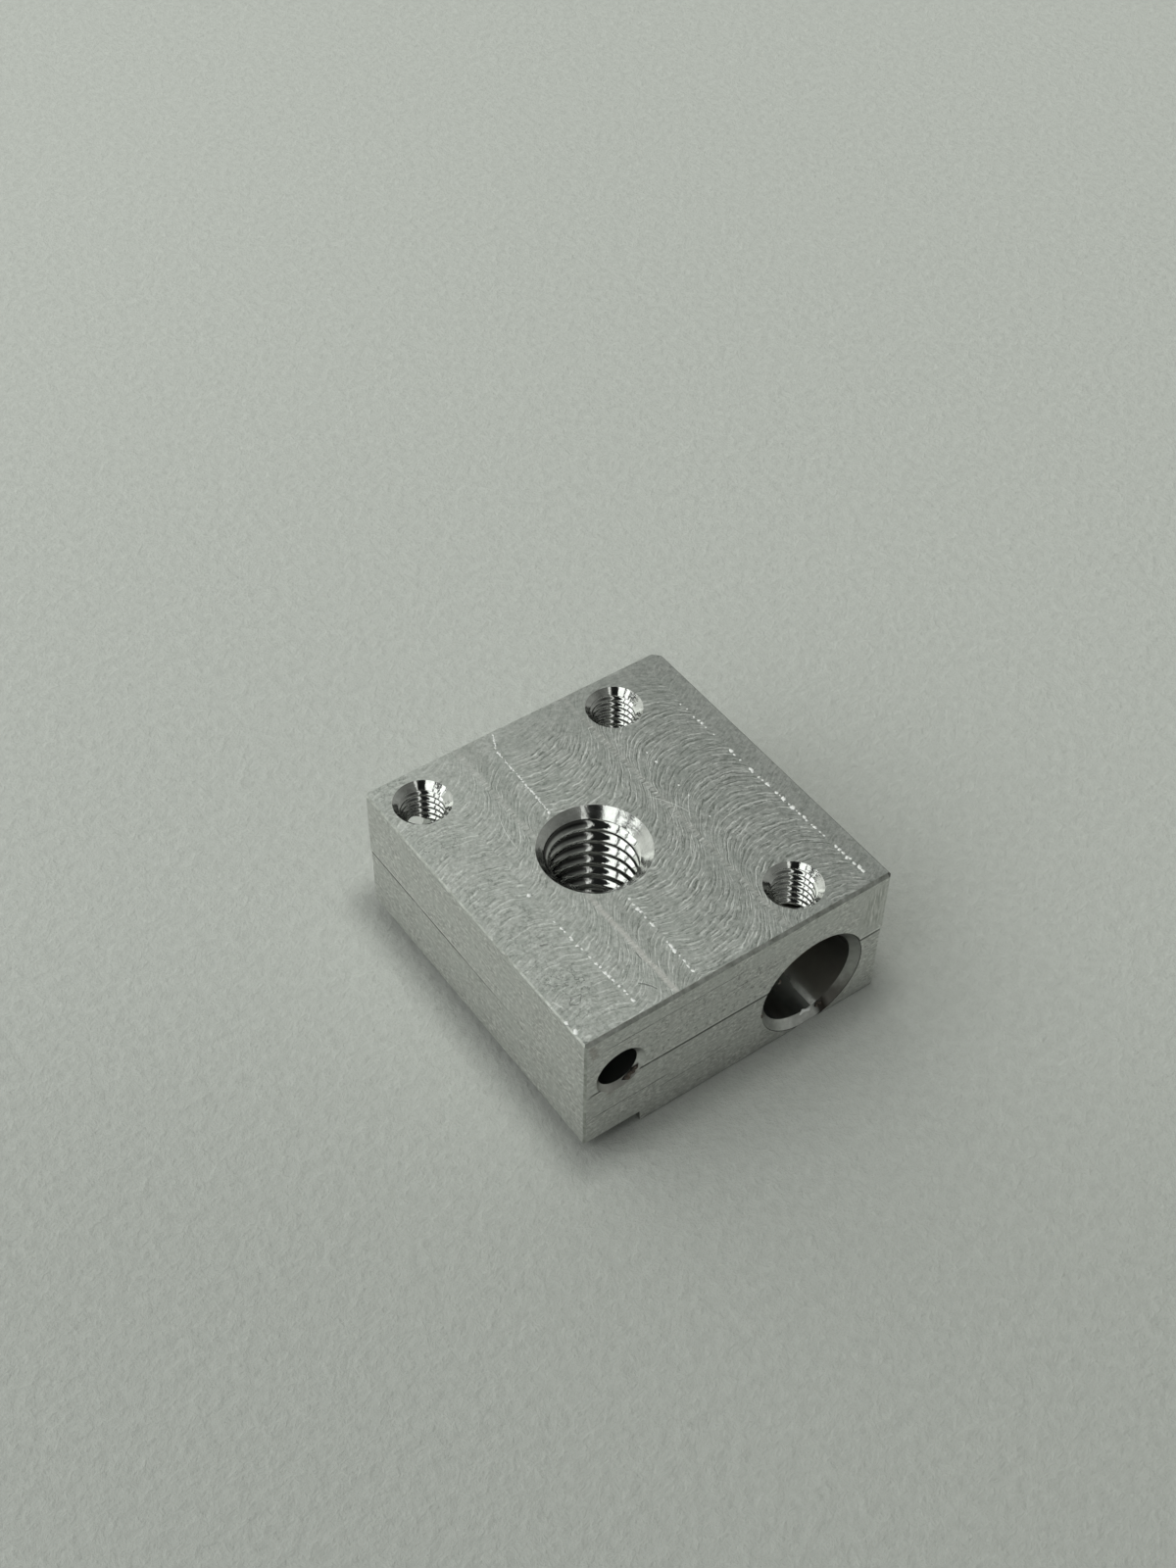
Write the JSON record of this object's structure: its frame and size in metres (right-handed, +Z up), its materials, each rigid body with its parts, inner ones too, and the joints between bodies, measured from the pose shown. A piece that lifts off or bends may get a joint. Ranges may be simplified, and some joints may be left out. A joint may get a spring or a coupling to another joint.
{
  "type": "machined mounting block",
  "caption": "Small milled aluminium block of a printer's hot end, with a countersunk tapped hole for the nozzle, cross bores for heater and sensor, and set-screw holes.",
  "frame": {"origin": "centre of the footprint, on the surface that the block stands on", "axes": "+Z up, out of the face with the countersunk holes; -Y is the face that shows both bore mouths; +X is towards the heater bore"},
  "size_m": [0.021, 0.022, 0.0099],
  "materials": {
    "milled_aluminium": "face milled, unpolished"
  },
  "bodies": {
    "root": {"heater_block": "milled_aluminium"}
  },
  "joints": []
}
